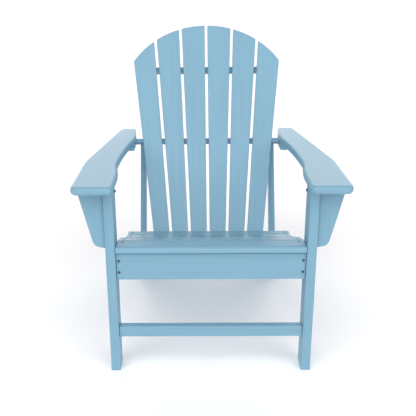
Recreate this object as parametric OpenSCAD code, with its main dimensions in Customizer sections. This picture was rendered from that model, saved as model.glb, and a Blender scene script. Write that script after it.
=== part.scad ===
// Adirondack chair with a fan-shaped back, built board by board and held by screws and bolts.
// Frame: +X to the viewer's right, +Y to the rear, +Z up, on the floor at the middle of its footprint.

/* [Frame] */
// Clear width between the two front legs
seat_w = 508; // [480:2:540]
// Thickness of a front leg
leg_t = 26; // [22:1:30]
// Depth of a front leg from front to rear
leg_d = 57; // [50:1:64]
// Height of the arms' top face
arm_h = 560; // [540:2:580]
// Thickness of the arms, the apron, the stretcher and the brackets
board_t = 22; // [20:1:24]
// Thickness of the side stringers
stringer_t = 30; // [28:1:32]

/* [Back] */
// Lean of the back from the vertical, in degrees
lean = 37.5; // [35:0.5:39]
// Length of the longest slat from the seat line up
back_l = 799; // [780:1:810]
// Radius of the arch that the slat tops follow
arch_r = 296; // [290:1:320]
// Half width of the fan where it starts
fan_start = 169; // [160:1:180]
// Growth of the fan's half width for each unit along the slats
fan_slope = 0.127; // [0.09:0.001:0.135]
// Gap between neighbouring back slats
slat_gap = 9.5; // [7:0.5:12]
// Thickness of the back and seat slats
slat_t = 17; // [16:1:18]

/* [Seat] */
// Height of the seat's front edge
seat_h = 377; // [372:1:382]
// Drop from the front of the seat to its rear
seat_drop = 88; // [80:1:92]
// Gap between neighbouring seat slats
seat_gap = 5; // [4:1:7]

/* [Arms] */
// Half width across the outer edges of the arms
arm_half = 354; // [345:1:360]
// Overhang of an arm in front of the leg
arm_front = 57; // [45:1:60]
// Distance from the front of the leg to the rear end of the arm
arm_rear = 622; // [610:1:635]

/* [Hidden] */
$fn = 48;
eps = 0.01;

// Inner and outer faces of the legs and stringers
leg_in = seat_w / 2;
leg_out = leg_in + leg_t;
stringer_in = leg_in - stringer_t;
arm_under = arm_h - board_t;

// Front apron and stretcher
setback = 6.5;
apron_z = 280;
stretcher_z = 105;
stretcher_h = 32;
rail_clear = 0.5;
apron_gap = 2.5;
frame_front = setback + board_t;

// Seat line: a cosine that is level at the front and flattens again at the rear
seat_curve_start = 12;
seat_curve_end = 345;
slat_count = 5;
nose_y = -2;
slat_pitch = 62;
slat_w = slat_pitch - seat_gap;
strip_y = nose_y + slat_count * slat_pitch;
strip_w = 28;
strip_step = 2;
slat_clear = 1;
function seat_phase(y) = 180 * max(0, y - seat_curve_start) / (seat_curve_end - seat_curve_start);
function seat_z(y) = seat_h - seat_drop * (1 - cos(seat_phase(y))) / 2;
function slat_y(i) = nose_y + i * slat_pitch;
function chord(y, w) = atan2(seat_z(y + w) - seat_z(y), w);

// Back plane: x across, y up along the slats, z out of the slats' front face
back_y = 323;
back_z = 254;
slat_bottom = -8;
back_slats = 6;
function half_fan(s) = fan_start + fan_slope * s;
function fan_pitch(s) = (2 * half_fan(s) + slat_gap) / back_slats;
function slat_left(i, s) = i * fan_pitch(s) - half_fan(s);
function slat_mid(i, s) = slat_left(i, s) + (fan_pitch(s) - slat_gap) / 2;

// Cross rails behind the slats: where each one starts along the slats and its height along them
rail_d = 17;
lower_s = 4;
lower_t = 36;
middle_s = 356;
middle_t = 14;
upper_s = 623;
upper_t = 18;
upper_half = 232;
rail_rear = -slat_t - rail_d;
rail_mid = -slat_t - rail_d / 2;

// Rear part of the stringers, down to the floor
stringer_front_z = 272;
foot_front = 640;
foot_rear = 806;
tail_rear = 815;
tail_z = 30;
tail_start = strip_y + strip_w + 40;

// Posts from the stringers up to the middle rail, which sits in a notch in their front edge
post_t = 18;
post_w = 46;
post_lean = 24;
post_y = 553;
post_z = 500;
post_foot = 415;

// Arms, with their brackets, cleats and rear blocks
arm_in = 246;
arm_waist = 258;
waist_start = 45;
waist_y = 160;
waist_r = 1910;
arm_mid_y = 468;
arm_in_rear = 243;
arm_out_rear = 298;
kink_y = 197;
arm_corner = 24;
arm_corner_in = 15;
bracket_y = 10;
bracket_top = 350;
bracket_z = 370;
cleat_w = 26;
cleat_h = 32;
cleat_l = 60;
cleat_y = bracket_y + board_t;
block_in = 243;
block_w = 28;
block_y = 540;
block_l = 78;
block_h = 38;
block_r = 6;

// Fasteners
screw_r = 2.2;
head_r = 3.8;
head_h = 2.4;
pan_r = 4.4;
pan_h = 3;
bolt_r = 4;
bolt_clear = 0.2;
bolt_head_r = 7;
bolt_head_h = 4.4;
washer_r = 9;
washer_t = 1.6;
nut_r = 7.5;
nut_h = 6.4;
steel = [0.42, 0.45, 0.48];
blue = [0.56, 0.73, 0.82];

// Where the fasteners go
apron_screw_x = leg_in - 7.5;
apron_screw_z = [301.5, 334.5];
leg_bolt_y = 44;
leg_bolt_z = [285, 318];
post_bolt_z = [132, 176];
stretcher_screw_z = stretcher_z + stretcher_h / 2;
cleat_screw_y = 45;
cleat_screw_z = 519;
bracket_screw_x = leg_out + cleat_w - 8;
bracket_screw_z = 529;
bracket_sink = 26;
dowel_z = [400, 460];
dowel_r = 4;
dowel_l = 26;
post_grip = 36;
post_sink = 6;

// The footprint's middle in Y, so that the origin lies under the middle of the chair
rear_y = back_y + back_top_s() * sin(lean) + slat_t * cos(lean);
mid_y = (rear_y - arm_front) / 2;
function arch_z() = back_l - arch_r;
function back_top_s() = arch_z() + sqrt(arch_r * arch_r - pow(slat_gap / 2, 2));

// ---------- placing ----------

module place() {
  translate([0, -mid_y, 0]) children();
}

// side is -1 for the left piece and 1 for the right one
module on_side(side) {
  if (side > 0) children();
  else mirror([1, 0, 0]) children();
}

module both_sides() {
  children();
  mirror([1, 0, 0]) children();
}

// A plate drawn in Y and Z, spread along X from x0
module side_plate(x0, t) {
  translate([x0, 0, 0]) rotate([90, 0, 90]) linear_extrude(t) children();
}

// The back's own frame
module on_back() {
  translate([0, back_y, back_z]) rotate([90 - lean, 0, 0]) children();
}

// A seat slat's own frame: y along its width, z out of its top face
module on_seat(y, w) {
  translate([0, y, seat_z(y)]) rotate([chord(y, w), 0, 0]) children();
}

// The post's own frame: y along its width to the rear, z up along its length
module on_post() {
  translate([0, post_y, post_z]) rotate([-post_lean, 0, 0]) children();
}

// ---------- fasteners, drawn pointing down from a head that is flush at z = 0 ----------

module screw_body(l) {
  translate([0, 0, -l]) cylinder(h = l, r = screw_r);
  translate([0, 0, -head_h]) cylinder(h = head_h, r1 = screw_r, r2 = head_r);
}

module cross_recess() {
  for (a = [0, 90]) rotate([0, 0, a]) translate([-2.2, -0.5, -1.4]) cube([4.4, 1, 2]);
}

module screw(l) {
  difference() {
    screw_body(l);
    cross_recess();
  }
}

module screw_hole(l) {
  screw_body(l);
  translate([0, 0, -eps]) cylinder(h = 1, r = head_r);
}

// A screw whose head stands on the surface
module pan_screw(l) {
  difference() {
    union() {
      translate([0, 0, -l]) cylinder(h = l + eps, r = screw_r);
      cylinder(h = pan_h, r = pan_r);
    }
    translate([0, 0, pan_h]) cross_recess();
  }
}

module pan_screw_hole(l) {
  translate([0, 0, -l]) cylinder(h = l + 1, r = screw_r);
}

module bolt(l) {
  translate([0, 0, -l]) cylinder(h = l + eps, r = bolt_r);
  difference() {
    cylinder(h = bolt_head_h, r = bolt_head_r);
    translate([0, 0, bolt_head_h - 2.5]) cylinder(h = 3, r = 2.9, $fn = 6);
  }
}

module washer() {
  difference() {
    cylinder(h = washer_t, r = washer_r);
    translate([0, 0, -1]) cylinder(h = washer_t + 2, r = bolt_r + bolt_clear);
  }
}

module nut() {
  difference() {
    cylinder(h = nut_h, r = nut_r, $fn = 6);
    translate([0, 0, -1]) cylinder(h = nut_h + 2, r = bolt_r);
  }
}

// ---------- where each group of fasteners sits ----------

// Front apron to the stringers' front ends
module at_apron_screws() {
  both_sides()
    for (z = apron_screw_z)
      translate([apron_screw_x, setback, z]) rotate([90, 0, 0]) children();
}

// Front legs to the stringers, heads outside
module at_leg_bolts() {
  both_sides()
    for (z = leg_bolt_z)
      translate([leg_out, leg_bolt_y, z]) rotate([0, 90, 0]) children();
}

// Stringers to the posts, heads outside
module at_post_bolts() {
  both_sides()
    for (z = post_bolt_z)
      translate([leg_in, post_mid_y(z), z]) rotate([0, 90, 0]) children();
}
function post_mid_y(z) = post_y + (post_w / 2) / cos(post_lean) + (z - post_z) * tan(post_lean);

// Front legs to the stretcher's ends
module at_stretcher_screws() {
  both_sides()
    for (dz = [-8, 8])
      translate([leg_out, setback + board_t / 2, stretcher_screw_z + dz]) rotate([0, 90, 0]) children();
}

// Cleats to the brackets, from the cleats' rear ends
module at_bracket_screws() {
  both_sides()
    translate([bracket_screw_x, cleat_y + cleat_l, bracket_screw_z]) rotate([-90, 0, 0]) children();
}

// Dowels that locate the brackets on the legs, centred on the legs' outer faces
module at_dowels() {
  both_sides()
    for (z = dowel_z)
      translate([leg_out, bracket_y + board_t / 2, z]) rotate([0, 90, 0]) children();
}

// Front legs to the cleats, from inside
module at_cleat_screws() {
  both_sides()
    translate([leg_in, cleat_screw_y, cleat_screw_z]) rotate([0, -90, 0]) children();
}

// Cleats up into the arms
module at_cleat_up_screws() {
  both_sides()
    for (y = [cleat_y + 26, cleat_y + cleat_l - 10])
      translate([leg_out + 7, y, arm_under - cleat_h]) rotate([180, 0, 0]) children();
}

// Rear blocks up into the arms
module at_block_up_screws() {
  both_sides()
    for (y = [block_y + 42, block_y + block_l - 12])
      translate([block_in + block_w / 2, y, arm_under - block_h]) rotate([180, 0, 0]) children();
}

// Rear blocks to the middle rail's ends
module at_block_screws() {
  both_sides() on_back()
    translate([block_in + block_w, middle_s + middle_t / 2, rail_mid]) rotate([0, 90, 0]) children();
}

// Stringers to the lower rail's ends
module at_lower_rail_screws() {
  both_sides()
    for (s = [8, 22])
      on_back() translate([leg_in, lower_s + s, rail_mid]) rotate([0, 90, 0]) children();
}

// Posts to the middle rail, from counterbores in the posts' rear edges
module at_post_screws() {
  both_sides() on_back()
    translate([stringer_in - post_t / 2, middle_s + middle_t / 2, rail_rear - post_grip])
      rotate([180, 0, 0]) children();
}

// Rails to the back slats, from the rails' rear faces
module at_back_screws(s) {
  for (i = [0 : back_slats - 1])
    on_back() translate([slat_mid(i, s), s, rail_rear]) rotate([180, 0, 0]) children();
}

// Two screws at each end of seat slat i, and one behind the rounded nose of the first
module at_seat_screws(i) {
  on_seat(slat_y(i), slat_w)
    both_sides()
      for (f = i == 0 ? [0.8] : [0.25, 0.75])
        translate([leg_in - stringer_t / 2, slat_w * f, 0]) children();
}

// One screw at each end of the rear strip
module at_strip_screws() {
  on_strip() both_sides() translate([leg_in - stringer_t / 2, strip_w / 2, 0]) children();
}

// ---------- frame ----------

leg_bolt_l = leg_t + stringer_t + washer_t * 2 + nut_h + 2;
post_bolt_l = stringer_t + post_t + washer_t * 2 + nut_h + 2;
stretcher_screw_l = leg_t + 38;
bracket_screw_l = cleat_l - bracket_sink + 16;
cleat_screw_l = leg_t + 12;
block_screw_l = block_w + 20;
lower_screw_l = stringer_t + 32;
cleat_up_l = cleat_h + 14;
block_up_l = block_h + 14;
post_screw_l = post_grip + rail_d - 3;
seat_screw_l = slat_t + 26;
apron_screw_l = board_t + 36;
back_screw_l = rail_d + 12;

module front_leg(side) {
  color(blue) place() on_side(side)
    difference() {
      translate([leg_in, 0, 0]) cube([leg_t, leg_d, arm_under]);
      at_leg_bolts() translate([0, 0, -leg_t - 1]) cylinder(h = leg_t + 2, r = bolt_r + bolt_clear);
      at_stretcher_screws() screw_hole(stretcher_screw_l);
      at_dowels() dowel();
      at_cleat_screws() pan_screw_hole(cleat_screw_l);
    }
}

// Underside of seat slat i, from its front edge to its rear edge
function under(i, d) =
  let (y = slat_y(i), a = chord(y, slat_w))
    [y + d * cos(a) + slat_t * sin(a), seat_z(y) + d * sin(a) - slat_t * cos(a)];
function under_z(i, y) =
  let (p = under(i, 0)) p[1] + (y - p[0]) * tan(chord(slat_y(i), slat_w));
strip_under = [strip_y, under(slat_count - 1, slat_w)[1] - strip_step];
apron_h = under_z(0, frame_front) - apron_gap - apron_z;

module stringer_outline() {
  polygon(concat(
    [[frame_front, stringer_front_z], [frame_front, under_z(0, frame_front)]],
    [for (i = [0 : slat_count - 1]) for (d = i == 0 ? [slat_w] : [0, slat_w]) under(i, d)],
    [strip_under, [strip_y + strip_w, strip_under[1]], [tail_start, strip_under[1] - 3]],
    [[tail_rear, tail_z], [foot_rear, 0], [foot_front, 0]]
  ));
}

module seat_stringer(side) {
  color(blue) place() on_side(side)
    difference() {
      side_plate(stringer_in, stringer_t) stringer_outline();
      at_apron_screws() screw_hole(apron_screw_l);
      at_leg_bolts() translate([0, 0, -leg_bolt_l]) cylinder(h = leg_bolt_l, r = bolt_r + bolt_clear);
      at_post_bolts() translate([0, 0, -stringer_t - 1]) cylinder(h = stringer_t + 2, r = bolt_r + bolt_clear);
      at_lower_rail_screws() screw_hole(lower_screw_l);
      for (i = [0 : slat_count - 1]) at_seat_screws(i) screw_hole(seat_screw_l);
      at_strip_screws() screw_hole(seat_screw_l);
    }
}

module front_apron() {
  color(blue) place()
    difference() {
      translate([-leg_in + rail_clear, setback, apron_z]) cube([seat_w - 2 * rail_clear, board_t, apron_h]);
      at_apron_screws() screw_hole(apron_screw_l);
    }
}

module front_stretcher() {
  color(blue) place()
    difference() {
      translate([-leg_in, setback, stretcher_z]) cube([seat_w, board_t, stretcher_h]);
      at_stretcher_screws() screw_hole(stretcher_screw_l);
    }
}

// ---------- seat ----------

// The front slat's nose: a large round above and a small one below that together fill its thickness
nose_r = 12;
nose_low_r = slat_t - nose_r;
module slat_section(front) {
  intersection() {
    translate([0, -slat_t]) square([slat_w, slat_t]);
    union() {
      translate([front ? nose_r : 0, -slat_t]) square([slat_w, slat_t]);
      if (front) translate([nose_low_r, -slat_t]) square([slat_w / 2, nose_low_r]);
      if (front) translate([nose_low_r, -nose_r]) circle(r = nose_low_r);
      if (front) translate([nose_r, -nose_r]) circle(r = nose_r);
    }
  }
}

module seat_slat(i) {
  color(blue) place()
    difference() {
      on_seat(slat_y(i), slat_w)
        side_plate(slat_clear - leg_in, seat_w - 2 * slat_clear) slat_section(i == 0);
      at_seat_screws(i) screw_hole(seat_screw_l);
    }
}

// The rear strip closes the seat in front of the back slats
module on_strip() {
  translate([0, strip_under[0], strip_under[1] + slat_t]) children();
}

module seat_rear_strip() {
  color(blue) place()
    difference() {
      on_strip() translate([slat_clear - leg_in, 0, -slat_t]) cube([seat_w - 2 * slat_clear, strip_w, slat_t]);
      at_strip_screws() screw_hole(seat_screw_l);
    }
}

// ---------- back ----------

module back_slat(i) {
  top = back_l + 10;
  color(blue) place()
    difference() {
      on_back() translate([0, 0, -slat_t]) linear_extrude(slat_t) intersection() {
        polygon([
          [slat_left(i, slat_bottom), slat_bottom],
          [slat_left(i + 1, slat_bottom) - slat_gap, slat_bottom],
          [slat_left(i + 1, top) - slat_gap, top],
          [slat_left(i, top), top]
        ]);
        union() {
          translate([0, arch_z()]) circle(r = arch_r, $fn = 180);
          translate([-arch_r, slat_bottom]) square([2 * arch_r, arch_z() - slat_bottom + arch_r * 0.3]);
        }
      }
      at_back_screws(lower_s + lower_t / 2) screw_hole(back_screw_l);
      at_back_screws(middle_s + middle_t / 2) screw_hole(back_screw_l);
      at_back_screws(upper_s + upper_t / 2) screw_hole(back_screw_l);
    }
}

module back_rail(half, s, t) {
  color(blue) place()
    difference() {
      on_back() translate([-half, s, rail_rear]) cube([2 * half, t, rail_d]);
      at_back_screws(s + t / 2) screw_hole(back_screw_l);
      at_block_screws() screw_hole(block_screw_l);
      at_lower_rail_screws() screw_hole(lower_screw_l);
      at_post_screws() screw_hole(post_screw_l);
    }
}

// A post is notched for the middle rail and ends level with the rail's top, square to the back
module back_post(side) {
  reach = 200;
  color(blue) place() on_side(side)
    difference() {
      on_post() translate([stringer_in - post_t, 0, -post_foot]) cube([post_t, post_w, post_foot + 80]);
      on_back() translate([0, middle_s, rail_rear]) cube([stringer_in * 2, reach, reach]);
      on_back() translate([0, middle_s + middle_t, rail_rear - reach]) cube([stringer_in * 2, reach, 2 * reach]);
      at_post_bolts() translate([0, 0, -post_bolt_l]) cylinder(h = post_bolt_l, r = bolt_r + bolt_clear);
      at_post_screws() post_screw_hole();
    }
}

// Counterbore in the post's rear edge, then the hole for the screw
module post_screw_hole() {
  cylinder(h = post_sink, r = head_r + 0.3);
  screw_body(post_screw_l);
}

// ---------- arms ----------

// A smooth corner from a to c that bends at b
function bend(a, b, c, n = 8) =
  [for (k = [0 : n]) let (t = k / n) a * pow(1 - t, 2) + b * 2 * t * (1 - t) + c * pow(t, 2)];

// The arm's inner edge: straight at the leg, drawn in to a waist, then a long shallow arc to the rear
function step_x(y) = arm_in + (arm_waist - arm_in) * (1 - cos(90 * (y - waist_start) / (waist_y - waist_start)));
function arc_x(y) = arm_waist - waist_r + sqrt(pow(waist_r, 2) - pow(y - waist_y, 2));

module arm_outline() {
  outer = arm_half;
  front = -arm_front;
  r = arm_corner;
  q = arm_corner_in;
  polygon(concat(
    bend([arm_in, front + q], [arm_in, front], [arm_in + q, front]),
    bend([outer - r, front], [outer, front], [outer, front + r]),
    bend([outer, kink_y - 14], [outer, kink_y], [outer - 2, kink_y + 14], 4),
    bend([arm_out_rear, arm_rear - r], [arm_out_rear - 3, arm_rear], [arm_out_rear - r, arm_rear]),
    [[arm_in_rear, arm_rear]],
    [for (y = [arm_mid_y : -(arm_mid_y - waist_y) / 14 : waist_y + 1]) [arc_x(y), y]],
    [for (y = [waist_y : -(waist_y - waist_start) / 6 : waist_start - 1]) [step_x(y), y]]
  ));
}

module arm(side) {
  color(blue) place() on_side(side)
    difference() {
      translate([0, 0, arm_under]) linear_extrude(board_t) arm_outline();
      at_cleat_up_screws() screw_hole(cleat_up_l);
      at_block_up_screws() screw_hole(block_up_l);
    }
}

module bracket_outline() {
  polygon(concat(
    [[leg_out, arm_under], [leg_out, bracket_z]],
    bend([leg_out + 20, bracket_z + 4], [leg_out + 30, bracket_z + 6], [leg_out + 35, bracket_z + 24]),
    [[bracket_top, arm_under]]
  ));
}

module arm_bracket(side) {
  color(blue) place() on_side(side)
    difference() {
      translate([0, bracket_y + board_t, 0]) rotate([90, 0, 0]) linear_extrude(board_t) bracket_outline();
      at_dowels() dowel();
      at_bracket_screws() bracket_screw_hole();
    }
}

// Counterbore in the cleat's rear end, then the hole for the screw
module bracket_screw_hole() {
  translate([0, 0, -bracket_sink]) cylinder(h = bracket_sink + 1, r = head_r + 0.6);
  translate([0, 0, -bracket_sink]) screw_body(bracket_screw_l);
}

module arm_cleat(side) {
  color(blue) place() on_side(side)
    difference() {
      translate([leg_out, cleat_y, arm_under - cleat_h]) cube([cleat_w, cleat_l, cleat_h]);
      at_cleat_screws() pan_screw_hole(cleat_screw_l);
      at_cleat_up_screws() screw_hole(cleat_up_l);
      at_bracket_screws() bracket_screw_hole();
    }
}

module arm_block(side) {
  color(blue) place() on_side(side)
    difference() {
      translate([0, block_y + block_l, 0]) rotate([90, 0, 0]) linear_extrude(block_l) {
        translate([block_in, arm_under - block_h + block_r]) square([block_w, block_h - block_r]);
        translate([block_in + block_r, arm_under - block_h]) square([block_w - 2 * block_r, block_h]);
        for (x = [block_in + block_r, block_in + block_w - block_r])
          translate([x, arm_under - block_h + block_r]) circle(r = block_r);
      }
      at_block_screws() screw_hole(block_screw_l);
      at_block_up_screws() screw_hole(block_up_l);
    }
}

// ---------- fasteners in place ----------

module dowel() {
  translate([0, 0, -dowel_l / 2]) cylinder(h = dowel_l, r = dowel_r);
}

module bracket_dowels() {
  color("tan") place() at_dowels() dowel();
}

module apron_screws() {
  color(steel) place() at_apron_screws() screw(apron_screw_l);
}

module seat_screws() {
  color(steel) place() {
    for (i = [0 : slat_count - 1]) at_seat_screws(i) screw(seat_screw_l);
    at_strip_screws() screw(seat_screw_l);
  }
}

module back_slat_screws() {
  color(steel) place()
    for (s = [lower_s + lower_t / 2, middle_s + middle_t / 2, upper_s + upper_t / 2])
      at_back_screws(s) screw(back_screw_l);
}

module lower_rail_screws() {
  color(steel) place() at_lower_rail_screws() screw(lower_screw_l);
}

module post_screws() {
  color(steel) place() at_post_screws() screw(post_screw_l);
}

module stretcher_screws() {
  color(steel) place() at_stretcher_screws() screw(stretcher_screw_l);
}

module bracket_screws() {
  color(steel) place() at_bracket_screws() translate([0, 0, -bracket_sink]) screw(bracket_screw_l);
}

module cleat_screws() {
  color(steel) place() at_cleat_screws() pan_screw(cleat_screw_l);
}

module cleat_to_arm_screws() {
  color(steel) place() at_cleat_up_screws() screw(cleat_up_l);
}

module block_to_arm_screws() {
  color(steel) place() at_block_up_screws() screw(block_up_l);
}

module arm_block_screws() {
  color(steel) place() at_block_screws() screw(block_screw_l);
}

module frame_bolts() {
  color(steel) place() {
    at_leg_bolts() translate([0, 0, washer_t]) bolt(leg_bolt_l);
    at_post_bolts() translate([0, 0, washer_t]) bolt(post_bolt_l);
  }
}

// Washers on both faces of a bolted joint of thickness t
module washer_pair(t) {
  washer();
  translate([0, 0, -t - washer_t]) washer();
}

module frame_washers() {
  color(steel) place() {
    at_leg_bolts() washer_pair(leg_t + stringer_t);
    at_post_bolts() washer_pair(stringer_t + post_t);
  }
}

module frame_nuts() {
  color(steel) place() {
    at_leg_bolts() translate([0, 0, -leg_t - stringer_t - washer_t - nut_h]) nut();
    at_post_bolts() translate([0, 0, -stringer_t - post_t - washer_t - nut_h]) nut();
  }
}

front_leg(-1);  // front_leg_left
front_leg(1);  // front_leg_right
seat_stringer(-1);  // seat_stringer_left
seat_stringer(1);  // seat_stringer_right
front_apron();
front_stretcher();
seat_slat(0);  // seat_slat_1
seat_slat(1);  // seat_slat_2
seat_slat(2);  // seat_slat_3
seat_slat(3);  // seat_slat_4
seat_slat(4);  // seat_slat_5
seat_rear_strip();
back_slat(0);  // back_slat_1
back_slat(1);  // back_slat_2
back_slat(2);  // back_slat_3
back_slat(3);  // back_slat_4
back_slat(4);  // back_slat_5
back_slat(5);  // back_slat_6
back_rail(upper_half, upper_s, upper_t);  // back_rail_upper
back_rail(block_in, middle_s, middle_t);  // back_rail_middle
back_rail(stringer_in, lower_s, lower_t);  // back_rail_lower
back_post(-1);  // back_post_left
back_post(1);  // back_post_right
arm(-1);  // arm_left
arm(1);  // arm_right
arm_bracket(-1);  // arm_bracket_left
arm_bracket(1);  // arm_bracket_right
arm_cleat(-1);  // arm_cleat_left
arm_cleat(1);  // arm_cleat_right
arm_block(-1);  // arm_block_left
arm_block(1);  // arm_block_right
apron_screws();
seat_screws();
back_slat_screws();
lower_rail_screws();
post_screws();
stretcher_screws();
bracket_screws();
bracket_dowels();
cleat_screws();
cleat_to_arm_screws();
block_to_arm_screws();
arm_block_screws();
frame_bolts();
frame_washers();
frame_nuts();
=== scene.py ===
"""An adirondack chair: rounded plastic-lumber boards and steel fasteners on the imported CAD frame."""

import math

import bmesh
import bpy
import numpy as np
from mathutils import Matrix, Vector


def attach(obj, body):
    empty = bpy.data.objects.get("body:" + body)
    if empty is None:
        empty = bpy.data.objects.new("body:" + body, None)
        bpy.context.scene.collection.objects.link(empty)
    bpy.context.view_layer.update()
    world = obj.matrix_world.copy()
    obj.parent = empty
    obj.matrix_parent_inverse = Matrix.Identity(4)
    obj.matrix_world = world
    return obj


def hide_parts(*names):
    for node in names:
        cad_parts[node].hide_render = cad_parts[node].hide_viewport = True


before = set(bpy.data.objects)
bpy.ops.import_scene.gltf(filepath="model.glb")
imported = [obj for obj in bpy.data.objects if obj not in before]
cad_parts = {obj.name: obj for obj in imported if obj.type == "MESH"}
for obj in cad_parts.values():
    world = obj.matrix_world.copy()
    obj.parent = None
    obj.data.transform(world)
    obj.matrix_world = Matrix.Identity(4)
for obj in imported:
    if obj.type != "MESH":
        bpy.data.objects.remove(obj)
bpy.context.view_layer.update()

MM = 0.001

# ---------- what each node is ----------

BOLTS = ["frame_bolts"]
WASHERS = ["frame_washers"]
NUTS = ["frame_nuts"]
DOWELS = ["bracket_dowels"]
SCREWS = [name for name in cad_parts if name.endswith("_screws")]
BOARDS = sorted(set(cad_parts) - set(SCREWS + BOLTS + WASHERS + NUTS + DOWELS))

# How far the hole of a deep-set screw runs on outwards from its head
COUNTERBORE = {"post_screws": 6 * MM, "bracket_screws": 28 * MM}
# Screws whose heads stand on the surface
PAN_HEADS = ("cleat_screws",)

# ---------- sizes ----------

# How the CAD meshes are read and shaded
WELD = 0.01 * MM
COPLANAR = math.radians(0.7)
SHARP = math.radians(25)
SMOOTH_BELOW = math.radians(40)
NORMAL_WEIGHT = 50
ROUND_STEPS = 4
# A flat face smaller than this has no screw hole in it
BIG_FACE = 150 * MM * MM
# Points as near as this to the end of a round solid belong to that end
END_DEEP = 0.4 * MM
# How far apart in the grain pattern one board lies from the next
GRAIN_STEP = 0.618
GRAIN_SHIFT = Vector((3.1, 1.7, 2.3))
# Boards whose rounds are wider than the short edges of their outline
WIDE_ROUNDS = ("arm_left", "arm_right")

# Radius of the routed edges, by the start of a board's name; the longest match counts
EDGE_RADIUS = {
    "arm": 9.0 * MM,
    "arm_block": 2.0 * MM,
    "arm_bracket": 2.4 * MM,
    "arm_cleat": 1.6 * MM,
    "back_slat": 2.4 * MM,
    "back_rail": 1.8 * MM,
    "back_post": 2.2 * MM,
    "front_apron": 1.8 * MM,
    "front_leg": 2.4 * MM,
    "front_stretcher": 2.2 * MM,
    "seat_slat": 2.2 * MM,
    "seat_rear_strip": 2.2 * MM,
    "seat_stringer": 2.0 * MM,
}

# Screws
HEAD_R = 3.8 * MM
HEAD_H = 2.4 * MM
HEAD_EDGE = HEAD_H * 0.2
PAN_R = 4.4 * MM
PAN_H = 3.0 * MM
SHANK_R = 2.2 * MM
SHANK_CORE = SHANK_R * 0.8
HEAD_SUNK = 0.5 * MM
RECESS = (4.3 * MM, 1.0 * MM, 2.8 * MM)
SCREW_PITCH = 1.9 * MM
SCREW_POINT = 4 * MM
# The eased rim of a screw's hole, and the play around fasteners
RIM_R = 4.2 * MM
CLEARANCE = 0.15 * MM
WIDE_CLEARANCE = 0.6 * MM
# Depth of a thread, and where its crest begins and ends as parts of the pitch
THREAD_DEEP = 0.6 * MM
CREST = (0.45, 0.55)
# Bolts with their washers and nuts
BOLT_PITCH = 1.25 * MM
BOLT_THREAD = 23.6 * MM
BOLT_R = 4.0 * MM
BOLT_HEAD_R = 7.0 * MM
BOLT_HEAD_H = 4.4 * MM
SOCKET_R = 2.9 * MM
SOCKET_DEEP = 2.5 * MM
WASHER_R = 9.0 * MM
WASHER_T = 1.6 * MM
NUT_R = 7.5 * MM
NUT_H = 6.4 * MM
DOWEL_R = 4.0 * MM
# One corner in this many of a dowel's side is drawn in to this part of its radius, as a flute
FLUTE_STEP = 4
FLUTE_R = 0.93
# Sides of the turned shapes
HEXAGON = 6
SCREW_SIDES = 24
BOLT_SIDES = 32
ROUND_SIDES = 48


# ---------- mesh helpers ----------


def mesh_object(name, bm):
    mesh = bpy.data.meshes.new(name)
    bm.to_mesh(mesh)
    bm.free()
    obj = bpy.data.objects.new(name, mesh)
    bpy.context.scene.collection.objects.link(obj)
    return obj


def drop(obj):
    mesh = obj.data
    bpy.data.objects.remove(obj)
    bpy.data.meshes.remove(mesh)


def boolean(obj, cutter, operation="DIFFERENCE"):
    """Cuts obj with cutter, keeps the result in obj's mesh and removes the cutter."""
    modifier = obj.modifiers.new("cut", "BOOLEAN")
    modifier.operation = operation
    modifier.solver = "EXACT"
    modifier.object = cutter
    bpy.context.view_layer.update()
    depsgraph = bpy.context.evaluated_depsgraph_get()
    made = bpy.data.meshes.new_from_object(obj.evaluated_get(depsgraph))
    obj.modifiers.remove(modifier)
    old = obj.data
    obj.data = made
    bpy.data.meshes.remove(old)
    drop(cutter)


def lathe(profile, sides):
    """A solid of revolution about Z, from (radius, height) points that start and end on the axis."""
    bm = bmesh.new()
    rings = []
    for radius, height in profile:
        if radius < WELD:
            rings.append([bm.verts.new((0, 0, height))] * sides)
            continue
        turn = [2 * math.pi * k / sides for k in range(sides)]
        rings.append([bm.verts.new((radius * math.cos(a), radius * math.sin(a), height)) for a in turn])
    for lower, upper in zip(rings, rings[1:]):
        for k in range(sides):
            corners = [lower[k], lower[(k + 1) % sides], upper[(k + 1) % sides], upper[k]]
            bm.faces.new(list(dict.fromkeys(corners)))
    bmesh.ops.recalc_face_normals(bm, faces=bm.faces)
    return bm


def islands(bm):
    """The separate solids of a mesh, each as an array of its corner points."""
    seen, found = set(), []
    for first in bm.verts:
        if first in seen:
            continue
        seen.add(first)
        group, front = [], [first]
        while front:
            vert = front.pop()
            group.append(vert.co.copy())
            for edge in vert.link_edges:
                other = edge.other_vert(vert)
                if other not in seen:
                    seen.add(other)
                    front.append(other)
        found.append(np.array(group))
    return found


def solids(node):
    bm = bmesh.new()
    bm.from_mesh(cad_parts[node].data)
    bmesh.ops.remove_doubles(bm, verts=bm.verts, dist=WELD)
    found = islands(bm)
    bm.free()
    return found


def smooth(obj):
    """Rounded edges shade as rounds and flat faces stay flat."""
    obj.data.shade_smooth()
    obj.data.set_sharp_from_angle(angle=SMOOTH_BELOW)
    normals = obj.modifiers.new("normals", "WEIGHTED_NORMAL")
    normals.keep_sharp = True
    normals.weight = NORMAL_WEIGHT


def stand_for(obj, node, material):
    obj.data.materials.clear()
    obj.data.materials.append(material)
    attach(obj, "root")
    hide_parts(node)


# ---------- where the fasteners are ----------


def end_points(points):
    """The middle of each end of a round solid that is longer than it is wide, the wider end first."""
    centre = points.mean(0)
    axis = np.linalg.svd(points - centre)[2][0]
    along = (points - centre) @ axis
    ends = []
    for sign in (1, -1):
        at_end = points[along * sign > (along * sign).max() - END_DEEP]
        middle = at_end.mean(0)
        ends.append((np.linalg.norm(at_end - middle, axis=1).max(), middle))
    ends.sort(key=lambda end: -end[0])
    return Vector(ends[0][1]), Vector(ends[1][1])


def facing(out):
    """The turn that lays Z along out."""
    return out.to_track_quat("Z", "Y").to_matrix().to_4x4()


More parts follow.
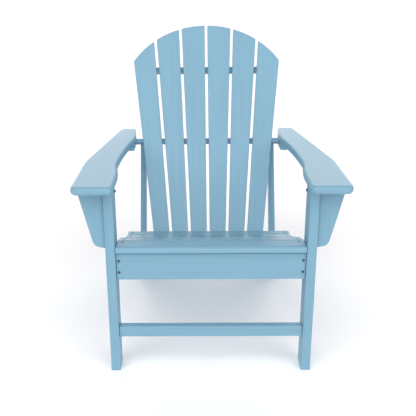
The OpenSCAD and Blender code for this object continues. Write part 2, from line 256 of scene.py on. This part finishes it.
class Pin:
    """One screw, bolt or dowel: the top of its head, the direction out of its head, and its length."""

    def __init__(self, node, points):
        self.node = node
        self.top, tip = end_points(points)
        self.out = (self.top - tip).normalized()
        self.length = (self.top - tip).length

    def matrix(self, lift=0.0):
        return Matrix.Translation(self.top + self.out * lift) @ facing(self.out)


def pins(nodes):
    return [Pin(node, points) for node in nodes for points in solids(node)]


# ---------- holes ----------


def screw_cutter(pin):
    """A countersunk hole with an eased rim, a counterbored one, or a plain one under a pan head."""
    if pin.node in PAN_HEADS:
        return [(0, 0), (SHANK_R, 0), (SHANK_R, -pin.length), (0, -pin.length)]
    wall = HEAD_R + CLEARANCE * 2
    seat = -HEAD_SUNK - HEAD_EDGE
    shank = SHANK_R + CLEARANCE
    reach = COUNTERBORE.get(pin.node)
    if reach:
        wide = HEAD_R + WIDE_CLEARANCE
        mouth = [(0, reach), (wide, reach), (wide, -HEAD_H)]
    else:
        mouth = [(0, MM), (RIM_R, MM), (RIM_R, 0.05 * MM), (wall, -HEAD_SUNK), (wall, seat)]
    return mouth + [(shank, -HEAD_SUNK - HEAD_H), (shank, -pin.length), (0, -pin.length)]


def plain_cutter(radius, pin, above):
    return [(0, above), (radius, above), (radius, -pin.length - MM), (0, -pin.length - MM)]


def cutter_of(pin):
    if pin.node in SCREWS:
        profile = screw_cutter(pin)
    elif pin.node in BOLTS:
        profile = plain_cutter(BOLT_R + CLEARANCE, pin, -BOLT_HEAD_H)
    else:
        profile = plain_cutter(DOWEL_R + CLEARANCE, pin, MM)
    bm = lathe(profile, BOLT_SIDES)
    bm.transform(pin.matrix())
    return bm


def box_of(points):
    return Vector(np.min(points, 0)), Vector(np.max(points, 0))


def boxes_meet(a, b):
    return all(a[0][k] < b[1][k] and b[0][k] < a[1][k] for k in range(3))


def all_cutters(found):
    made = []
    for pin in found:
        bm = cutter_of(pin)
        mesh = bpy.data.meshes.new("cutter")
        bm.to_mesh(mesh)
        bm.free()
        made.append((box_of([v.co for v in mesh.vertices]), mesh))
    return made


def cut_holes(obj, cutters):
    """Cuts every hole that reaches this board, in one pass."""
    box = box_of([v.co for v in obj.data.vertices])
    bm = bmesh.new()
    for cutter_box, mesh in cutters:
        if boxes_meet(box, cutter_box):
            bm.from_mesh(mesh)
    if bm.verts:
        boolean(obj, mesh_object("holes", bm))
    else:
        bm.free()


# ---------- boards ----------


def flat_regions(bm):
    """Groups of connected faces that lie in one plane."""
    seen, regions = set(), []
    for first in bm.faces:
        if first in seen:
            continue
        seen.add(first)
        region, front = [], [first]
        while front:
            face = front.pop()
            region.append(face)
            for edge in face.edges:
                for other in edge.link_faces:
                    if other not in seen and other.normal.angle(face.normal, 0) < COPLANAR:
                        seen.add(other)
                        front.append(other)
        regions.append(region)
    return regions


def loops_of(edges):
    """Groups of edges that hang together."""
    left, loops = set(edges), []
    while left:
        loop, front = [], [left.pop()]
        while front:
            edge = front.pop()
            loop.append(edge)
            for vert in edge.verts:
                for other in vert.link_edges:
                    if other in left:
                        left.remove(other)
                        front.append(other)
        loops.append(loop)
    return loops


def loop_span(loop):
    low, high = box_of([v.co for edge in loop for v in edge.verts])
    return (high - low).length


def hole_rims(bm):
    """The edges around each hole: every border of a large flat face but its outermost one."""
    rims = set()
    for region in flat_regions(bm):
        if sum(face.calc_area() for face in region) < BIG_FACE:
            continue
        inside = set(region)
        border = {e for face in region for e in face.edges if not inside.issuperset(e.link_faces)}
        loops = sorted(loops_of(border), key=loop_span)
        rims.update(edge for loop in loops[:-1] for edge in loop)
    return rims


def skin_of(node):
    """The board's closed outer skin, as its CAD solid has it, with the screw holes filled in."""
    bm = bmesh.new()
    bm.from_mesh(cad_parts[node].data)
    bmesh.ops.remove_doubles(bm, verts=bm.verts, dist=WELD)
    bmesh.ops.dissolve_limit(bm, angle_limit=COPLANAR, verts=bm.verts, edges=bm.edges)
    bm.normal_update()
    rims = hole_rims(bm)
    start = max(bm.faces, key=lambda face: face.calc_area())
    kept, front = {start}, [start]
    while front:
        for edge in front.pop().edges:
            if edge in rims:
                continue
            for other in edge.link_faces:
                if other not in kept:
                    kept.add(other)
                    front.append(other)
    bmesh.ops.delete(bm, geom=[f for f in bm.faces if f not in kept], context="FACES")
    bmesh.ops.holes_fill(bm, edges=[e for e in bm.edges if e.is_boundary], sides=0)
    bmesh.ops.recalc_face_normals(bm, faces=bm.faces)
    bmesh.ops.dissolve_limit(bm, angle_limit=COPLANAR, verts=bm.verts, edges=bm.edges)
    bm.normal_update()
    return bm


def grain_matrix(bm):
    """The board's own frame: X along its longest edge, as the grain runs, and Z out of its widest face."""
    widest = max(bm.faces, key=lambda face: face.calc_area())
    edge = max(widest.edges, key=lambda e: e.calc_length())
    z = widest.normal.normalized()
    x = (edge.verts[1].co - edge.verts[0].co).normalized()
    y = z.cross(x)
    low, high = box_of([v.co for v in bm.verts])
    turn = Matrix((x, y, z)).transposed().to_4x4()
    return Matrix.Translation((low + high) / 2) @ turn


def edge_radius(node):
    return EDGE_RADIUS[max((start for start in EDGE_RADIUS if node.startswith(start)), key=len)]


def round_edges(bm, radius, keep_apart):
    edges = [e for e in bm.edges if e.is_manifold and e.calc_face_angle() > SHARP]
    bmesh.ops.bevel(
        bm,
        geom=edges,
        offset=radius,
        offset_type="OFFSET",
        segments=ROUND_STEPS,
        profile=0.5,
        affect="EDGES",
        clamp_overlap=keep_apart,
    )


def lay_grain(obj, own, seed):
    """Stores every point's place in the board's own frame, shifted to the board's part of the pattern."""
    to_board = own.inverted()
    offset = GRAIN_SHIFT * seed
    layer = obj.data.attributes.new("grain", "FLOAT_VECTOR", "POINT")
    layer.data.foreach_set("vector", [c for v in obj.data.vertices for c in to_board @ v.co + offset])


def make_board(node, index, cutters, material):
    bm = skin_of(node)
    own = grain_matrix(bm)
    round_edges(bm, edge_radius(node), node not in WIDE_ROUNDS)
    obj = mesh_object(node + "_board", bm)
    cut_holes(obj, cutters)
    lay_grain(obj, own, index * GRAIN_STEP)
    smooth(obj)
    stand_for(obj, node, material)


# ---------- fasteners ----------


def thread(top, bottom, radius, pitch):
    """The profile of a threaded stretch, as ridges."""
    count = max(1, int((top - bottom) / pitch))
    core = radius - THREAD_DEEP
    points = []
    for k in range(count):
        z = top - k * pitch
        points += [(core, z), (radius, z - pitch * CREST[0]), (radius, z - pitch * CREST[1])]
    return points + [(core, top - count * pitch)]


def flat_head():
    """The profile of a countersunk head."""
    return [(0, 0), (HEAD_R - 0.5 * MM, 0), (HEAD_R - 0.12 * MM, -0.1 * MM), (HEAD_R, -0.35 * MM)]


def pan_head():
    """The profile of a head that stands on the surface."""
    dome = [(PAN_R - 1.4 * MM, -0.1 * MM), (PAN_R - 0.6 * MM, -0.5 * MM), (PAN_R - 0.1 * MM, -1.2 * MM)]
    return [(0, 0), (PAN_R - 2 * MM, 0)] + dome + [(PAN_R, -PAN_H)]


def screw_shape(length, head, head_h):
    """A screw with a cross recess, a threaded shank and a point, its head's top at the origin."""
    length -= HEAD_SUNK
    neck = [(SHANK_CORE, -head_h), (SHANK_CORE, -head_h - 2 * MM)]
    ridges = thread(-head_h - 2.2 * MM, -length + SCREW_POINT, SHANK_R, SCREW_PITCH)
    bm = lathe(head + neck + ridges + [(0, -length)], SCREW_SIDES)
    obj = mesh_object("screw", bm)
    for k in range(2):
        slot_box = Matrix.Rotation(k * math.pi / 2, 4, "Z") @ Matrix.Diagonal((*RECESS, 1))
        arm = bmesh.new()
        bmesh.ops.create_cube(arm, size=1, matrix=slot_box)
        boolean(obj, mesh_object("recess", arm))
    return obj


def bolt_shape(length):
    """A button-head bolt with a hexagon socket, its head's top at the origin."""
    arc = [math.radians(a) for a in (35, 52, 68, 80)]
    round_r, drop_h = BOLT_HEAD_R / math.sin(arc[-1]), BOLT_HEAD_H * 0.85
    dome = [(round_r * math.sin(a), -drop_h * (1 - math.cos(a))) for a in arc]
    head = [(0, 0), (SOCKET_R * 1.25, 0)] + dome + [(BOLT_HEAD_R, -BOLT_HEAD_H), (BOLT_R, -BOLT_HEAD_H)]
    shank = [(BOLT_R, -length + BOLT_THREAD + 0.4 * MM)]
    ridges = thread(-length + BOLT_THREAD, -length + 0.8 * MM, BOLT_R, BOLT_PITCH)
    bm = lathe(head + shank + ridges + [(BOLT_R * 0.75, -length), (0, -length)], BOLT_SIDES)
    obj = mesh_object("bolt", bm)
    socket = [(0, MM), (SOCKET_R, MM), (SOCKET_R, -SOCKET_DEEP), (0, -SOCKET_DEEP - 0.8 * MM)]
    boolean(obj, mesh_object("socket", lathe(socket, HEXAGON)))
    return obj


def washer_shape():
    """A flat washer with eased edges, centred on the origin."""
    half, ease = WASHER_T / 2, 0.35 * MM
    bore = BOLT_R + 0.25 * MM
    disc = [(0, half), (WASHER_R - ease, half), (WASHER_R, half - ease), (WASHER_R, ease - half)]
    disc += [(WASHER_R - ease, -half), (0, -half)]
    obj = mesh_object("washer", lathe(disc, ROUND_SIDES))
    hole = [(0, MM), (bore, MM), (bore, -MM), (0, -MM)]
    boolean(obj, mesh_object("hole", lathe(hole, ROUND_SIDES)))
    return obj


def nut_shape():
    """A hexagon nut with chamfered corners and a plain bore, centred on the origin."""
    half, chamfer = NUT_H / 2, 0.9 * MM
    prism = [(0, half), (NUT_R, half), (NUT_R, -half), (0, -half)]
    obj = mesh_object("nut", lathe(prism, HEXAGON))
    face_r, corner_r = NUT_R * 0.88, NUT_R * 1.01
    rounds = [(0, half), (face_r, half), (corner_r, half - chamfer)]
    rounds += [(corner_r, chamfer - half), (face_r, -half), (0, -half)]
    boolean(obj, mesh_object("rounds", lathe(rounds, ROUND_SIDES)), "INTERSECT")
    bore = BOLT_R - 0.3 * MM
    hole = [(0, half + MM), (bore, half + MM), (bore, -half - MM), (0, -half - MM)]
    boolean(obj, mesh_object("hole", lathe(hole, BOLT_SIDES)))
    return obj


def dowel_shape(length):
    """A fluted wooden dowel with chamfered ends, its top at the origin."""
    ease = 0.8 * MM
    profile = [(0, 0), (DOWEL_R - ease, 0), (DOWEL_R, -ease), (DOWEL_R, ease - length)]
    bm = lathe(profile + [(DOWEL_R - ease, -length), (0, -length)], ROUND_SIDES)
    for k, vert in enumerate(v for v in bm.verts if math.hypot(v.co.x, v.co.y) > DOWEL_R * 0.9):
        if k % FLUTE_STEP == 0:
            vert.co.x *= FLUTE_R
            vert.co.y *= FLUTE_R
    return mesh_object("dowel", bm)


def finish_set(node, bm, material):
    obj = mesh_object(node + "_set", bm)
    smooth(obj)
    stand_for(obj, node, material)


def copies(node, shape, places, material):
    """One piece that holds a copy of shape at each place."""
    bm = bmesh.new()
    for matrix in places:
        mesh = shape.data.copy()
        mesh.transform(matrix)
        bm.from_mesh(mesh)
        bpy.data.meshes.remove(mesh)
    drop(shape)
    finish_set(node, bm, material)


def make_screws(found, material):
    for node in SCREWS:
        mine = [pin for pin in found if pin.node == node]
        pan = node in PAN_HEADS
        shape = screw_shape(mine[0].length, pan_head() if pan else flat_head(), PAN_H if pan else HEAD_H)
        lift = 0.0 if pan or node in COUNTERBORE else -HEAD_SUNK
        copies(node, shape, [pin.matrix(lift) for pin in mine], material)


def make_bolts(found, material):
    """The bolts differ in length, so each length has its own shape."""
    bm = bmesh.new()
    for pin in [p for p in found if p.node in BOLTS]:
        shape = bolt_shape(pin.length)
        shape.data.transform(pin.matrix())
        bm.from_mesh(shape.data)
        drop(shape)
    finish_set(BOLTS[0], bm, material)


def on_nearest_bolt(points, bolts):
    """A washer or nut lies square on the bolt that it belongs to."""
    middle = Vector(points.mean(0))

    def off_axis(bolt):
        return (middle - bolt.top).cross(bolt.out).length

    return Matrix.Translation(middle) @ facing(min(bolts, key=off_axis).out)


def make_washers_and_nuts(found, material):
    bolts = [pin for pin in found if pin.node in BOLTS]
    for node, shape in ((WASHERS[0], washer_shape()), (NUTS[0], nut_shape())):
        places = [on_nearest_bolt(points, bolts) for points in solids(node)]
        copies(node, shape, places, material)


def make_dowels(found, material):
    mine = [pin for pin in found if pin.node in DOWELS]
    copies(DOWELS[0], dowel_shape(mine[0].length), [pin.matrix() for pin in mine], material)


# ---------- materials ----------

LUMBER_COLOUR = (0.182, 0.36, 0.48)
STEEL_COLOUR = (0.1, 0.145, 0.18)
BEECH_COLOUR = (0.52, 0.34, 0.18)
FLOOR_COLOUR = (0.94, 0.93, 0.935, 1)
# The part of a noise's range that spread uses
NOISE_LOW = 0.3
NOISE_HIGH = 0.7


class Nodes:
    """A short way to build a node tree."""

    def __init__(self, name):
        self.material = bpy.data.materials.new(name)
        self.material.use_nodes = True
        self.tree = self.material.node_tree
        self.shader = self.tree.nodes["Principled BSDF"]

    def add(self, kind, **values):
        node = self.tree.nodes.new(kind)
        for key, value in values.items():
            setattr(node, key, value)
        return node

    def link(self, source, target):
        self.tree.links.new(source, target)

    def math(self, operation, a, b):
        node = self.add("ShaderNodeMath", operation=operation)
        for socket, value in zip(node.inputs, (a, b)):
            if isinstance(value, (int, float)):
                socket.default_value = value
            else:
                self.link(value, socket)
        return node.outputs[0]

    def noise(self, vector, scale, detail=3.0, distortion=0.0):
        """Noise that is stretched by scale, a number for each axis."""
        mapping = self.add("ShaderNodeMapping")
        mapping.inputs["Scale"].default_value = scale
        self.link(vector, mapping.inputs["Vector"])
        node = self.add("ShaderNodeTexNoise")
        node.inputs["Scale"].default_value = 1.0
        node.inputs["Detail"].default_value = detail
        node.inputs["Distortion"].default_value = distortion
        self.link(mapping.outputs[0], node.inputs["Vector"])
        return node.outputs["Fac"]

    def spread(self, value, low, high):
        """Maps the middle of a noise's range to low and high."""
        node = self.add("ShaderNodeMapRange")
        ends = {"From Min": NOISE_LOW, "From Max": NOISE_HIGH, "To Min": low, "To Max": high}
        for socket, number in ends.items():
            node.inputs[socket].default_value = number
        self.link(value, node.inputs["Value"])
        return node.outputs[0]

    def bump(self, height, distance, strength):
        node = self.add("ShaderNodeBump")
        node.inputs["Distance"].default_value = distance
        node.inputs["Strength"].default_value = strength
        self.link(height, node.inputs["Height"])
        self.link(node.outputs[0], self.shader.inputs["Normal"])

    def tint(self, colour, amounts):
        """Multiplies a plain colour by each of the amounts."""
        mixed = None
        for amount in amounts:
            mixed = amount if mixed is None else self.math("MULTIPLY", mixed, amount)
        scale = self.add("ShaderNodeVectorMath", operation="SCALE")
        scale.inputs[0].default_value = colour
        self.link(mixed, scale.inputs["Scale"])
        self.link(scale.outputs[0], self.shader.inputs["Base Color"])


def plastic_lumber():
    """Blue boards, coloured all through: fine drawn grain along each board, satin, with faint streaks."""
    made = Nodes("plastic_lumber")
    board = made.add("ShaderNodeAttribute", attribute_name="grain").outputs["Vector"]
    cloud = made.noise(board, (1.5, 9, 9), 2)
    streak = made.noise(board, (3.5, 150, 150), 4, 0.15)
    fine = made.noise(board, (14, 950, 950), 3)
    made.tint(
        LUMBER_COLOUR,
        [made.spread(cloud, 0.97, 1.03), made.spread(streak, 0.955, 1.045), made.spread(fine, 0.98, 1.02)],
    )
    rough = made.math("ADD", made.spread(fine, 0.0, 0.08), made.spread(streak, 0.0, 0.05))
    made.link(made.math("ADD", rough, 0.36), made.shader.inputs["Roughness"])
    height = made.math("ADD", made.math("MULTIPLY", fine, 0.45), streak)
    made.bump(height, 0.12 * MM, 0.55)
    made.shader.inputs["IOR"].default_value = 1.5
    return made.material


def stainless_steel():
    """Dull steel with fine tool marks."""
    made = Nodes("stainless_steel")
    coords = made.add("ShaderNodeTexCoord").outputs["Object"]
    marks = made.noise(coords, (900, 900, 900), 3)
    film = made.noise(coords, (60, 60, 60), 2)
    made.tint(STEEL_COLOUR, [made.spread(marks, 0.88, 1.1), made.spread(film, 0.9, 1.08)])
    made.link(made.spread(marks, 0.3, 0.48), made.shader.inputs["Roughness"])
    made.shader.inputs["Metallic"].default_value = 1.0
    made.bump(marks, 0.02 * MM, 0.4)
    return made.material


def beech():
    """Pale wood of the dowels, with fine grain."""
    made = Nodes("beech")
    coords = made.add("ShaderNodeTexCoord").outputs["Object"]
    grain = made.noise(coords, (60, 1400, 1400), 3)
    made.tint(BEECH_COLOUR, [made.spread(grain, 0.8, 1.12)])
    made.link(made.spread(grain, 0.5, 0.65), made.shader.inputs["Roughness"])
    made.bump(grain, 0.05 * MM, 0.5)
    return made.material


# ---------- studio ----------

FLOOR_HALF = 60.0
FLOOR_GLOW = 0.1
CAMERA_AT = (-0.0401, -1.9829, 1.0496)
CAMERA_PITCH = 19.283
CAMERA_YAW = -0.705
CAMERA_ROLL = -0.531
CAMERA_LENS = 56.83
CAMERA_SHIFT = (0.0482, -0.0028)

# Soft lamps: strength, colour and the direction in which the light travels
LAMPS = {
    "key": (1.42, (1.0, 0.99, 0.98), (0.5, 0.75, -0.68)),
    "fill": (1.25, (1.0, 1.0, 1.0), (-0.6, 0.75, -0.62)),
    "top": (0.5, (1.0, 1.0, 1.0), (0.0, 0.42, -0.91)),
}
LAMP_ANGLE = 50
# Brightness of the room low down and overhead, and what the backdrop behind the chair and the horizon add
ROOM_LOW = 0.2
ROOM_HIGH = 0.25
BACKDROP = 2.1
HORIZON = 0.6


def pale_floor():
    bm = bmesh.new()
    bmesh.ops.create_grid(bm, x_segments=1, y_segments=1, size=FLOOR_HALF)
    floor = mesh_object("floor", bm)
    made = Nodes("pale_floor")
    made.shader.inputs["Base Color"].default_value = FLOOR_COLOUR
    made.shader.inputs["Roughness"].default_value = 0.9
    made.shader.inputs["Specular IOR Level"].default_value = 0.1
    made.shader.inputs["Emission Color"].default_value = (1.0, 1.0, 1.0, 1)
    made.shader.inputs["Emission Strength"].default_value = FLOOR_GLOW
    floor.data.materials.append(made.material)


def soft_room():
    """A pale room with a bright backdrop behind the chair, which the boards' tops mirror faintly."""
    world = bpy.data.worlds.new("studio")
    bpy.context.scene.world = world
    world.use_nodes = True
    tree = world.node_tree
    coords = tree.nodes.new("ShaderNodeTexCoord")
    split = tree.nodes.new("ShaderNodeSeparateXYZ")
    tree.links.new(coords.outputs["Generated"], split.inputs[0])

    def ramp(axis, start, end, low, high):
        node = tree.nodes.new("ShaderNodeMapRange")
        for socket, number in (("From Min", start), ("From Max", end), ("To Min", low), ("To Max", high)):
            node.inputs[socket].default_value = number
        tree.links.new(split.outputs[axis], node.inputs["Value"])
        return node.outputs[0]

    def join(operation, a, b):
        node = tree.nodes.new("ShaderNodeMath")
        node.operation = operation
        tree.links.new(a, node.inputs[0])
        tree.links.new(b, node.inputs[1])
        return node.outputs[0]

    horizon = ramp("Z", 0.0, 0.3, HORIZON, 0.0)
    backdrop = join("MULTIPLY", ramp("Y", 0.4, 0.8, 0.0, BACKDROP), ramp("Z", 0.7, 0.45, 0.0, 1.0))
    total = join("ADD", join("ADD", horizon, backdrop), ramp("Z", 0.0, 0.9, ROOM_LOW, ROOM_HIGH))
    tree.links.new(total, tree.nodes["Background"].inputs["Strength"])
    tree.nodes["Background"].inputs["Color"].default_value = (1.0, 0.99, 1.0, 1)


def soft_lamps():
    for name, (energy, colour, direction) in LAMPS.items():
        light = bpy.data.lights.new(name, "SUN")
        light.energy = energy
        light.angle = math.radians(LAMP_ANGLE)
        light.color = colour
        lamp = bpy.data.objects.new(name, light)
        bpy.context.scene.collection.objects.link(lamp)
        lamp.rotation_euler = Vector(direction).to_track_quat("-Z", "Y").to_euler()


def make_camera():
    """The photo's view of the chair; place, turn, lens and shift are fitted together."""
    pitch, yaw, roll = (math.radians(a) for a in (CAMERA_PITCH, CAMERA_YAW, CAMERA_ROLL))
    forward = Vector((math.sin(yaw) * math.cos(pitch), math.cos(yaw) * math.cos(pitch), -math.sin(pitch)))
    right = Vector((math.cos(yaw), -math.sin(yaw), 0))
    up = right.cross(forward)
    x = math.cos(roll) * right + math.sin(roll) * up
    y = math.cos(roll) * up - math.sin(roll) * right
    turn = Matrix((x, y, -forward)).transposed().to_4x4()
    camera = bpy.data.objects.new("camera", bpy.data.cameras.new("camera"))
    bpy.context.scene.collection.objects.link(camera)
    camera.matrix_world = Matrix.Translation(CAMERA_AT) @ turn
    camera.data.lens = CAMERA_LENS
    camera.data.shift_x, camera.data.shift_y = CAMERA_SHIFT
    camera.data.clip_end = 4 * FLOOR_HALF
    bpy.context.scene.camera = camera


def plain_colours():
    view = bpy.context.scene.view_settings
    view.view_transform = "Standard"
    view.look = "None"
    view.exposure = 0.0
    view.gamma = 1.0


# ---------- the whole scene ----------


def make_chair():
    lumber, steel = plastic_lumber(), stainless_steel()
    found = pins(SCREWS + BOLTS + DOWELS)
    cutters = all_cutters(found)
    for index, node in enumerate(BOARDS):
        make_board(node, index, cutters, lumber)
    for _, mesh in cutters:
        bpy.data.meshes.remove(mesh)
    make_screws(found, steel)
    make_bolts(found, steel)
    make_washers_and_nuts(found, steel)
    make_dowels(found, beech())


make_chair()
pale_floor()
soft_room()
soft_lamps()
make_camera()
plain_colours()
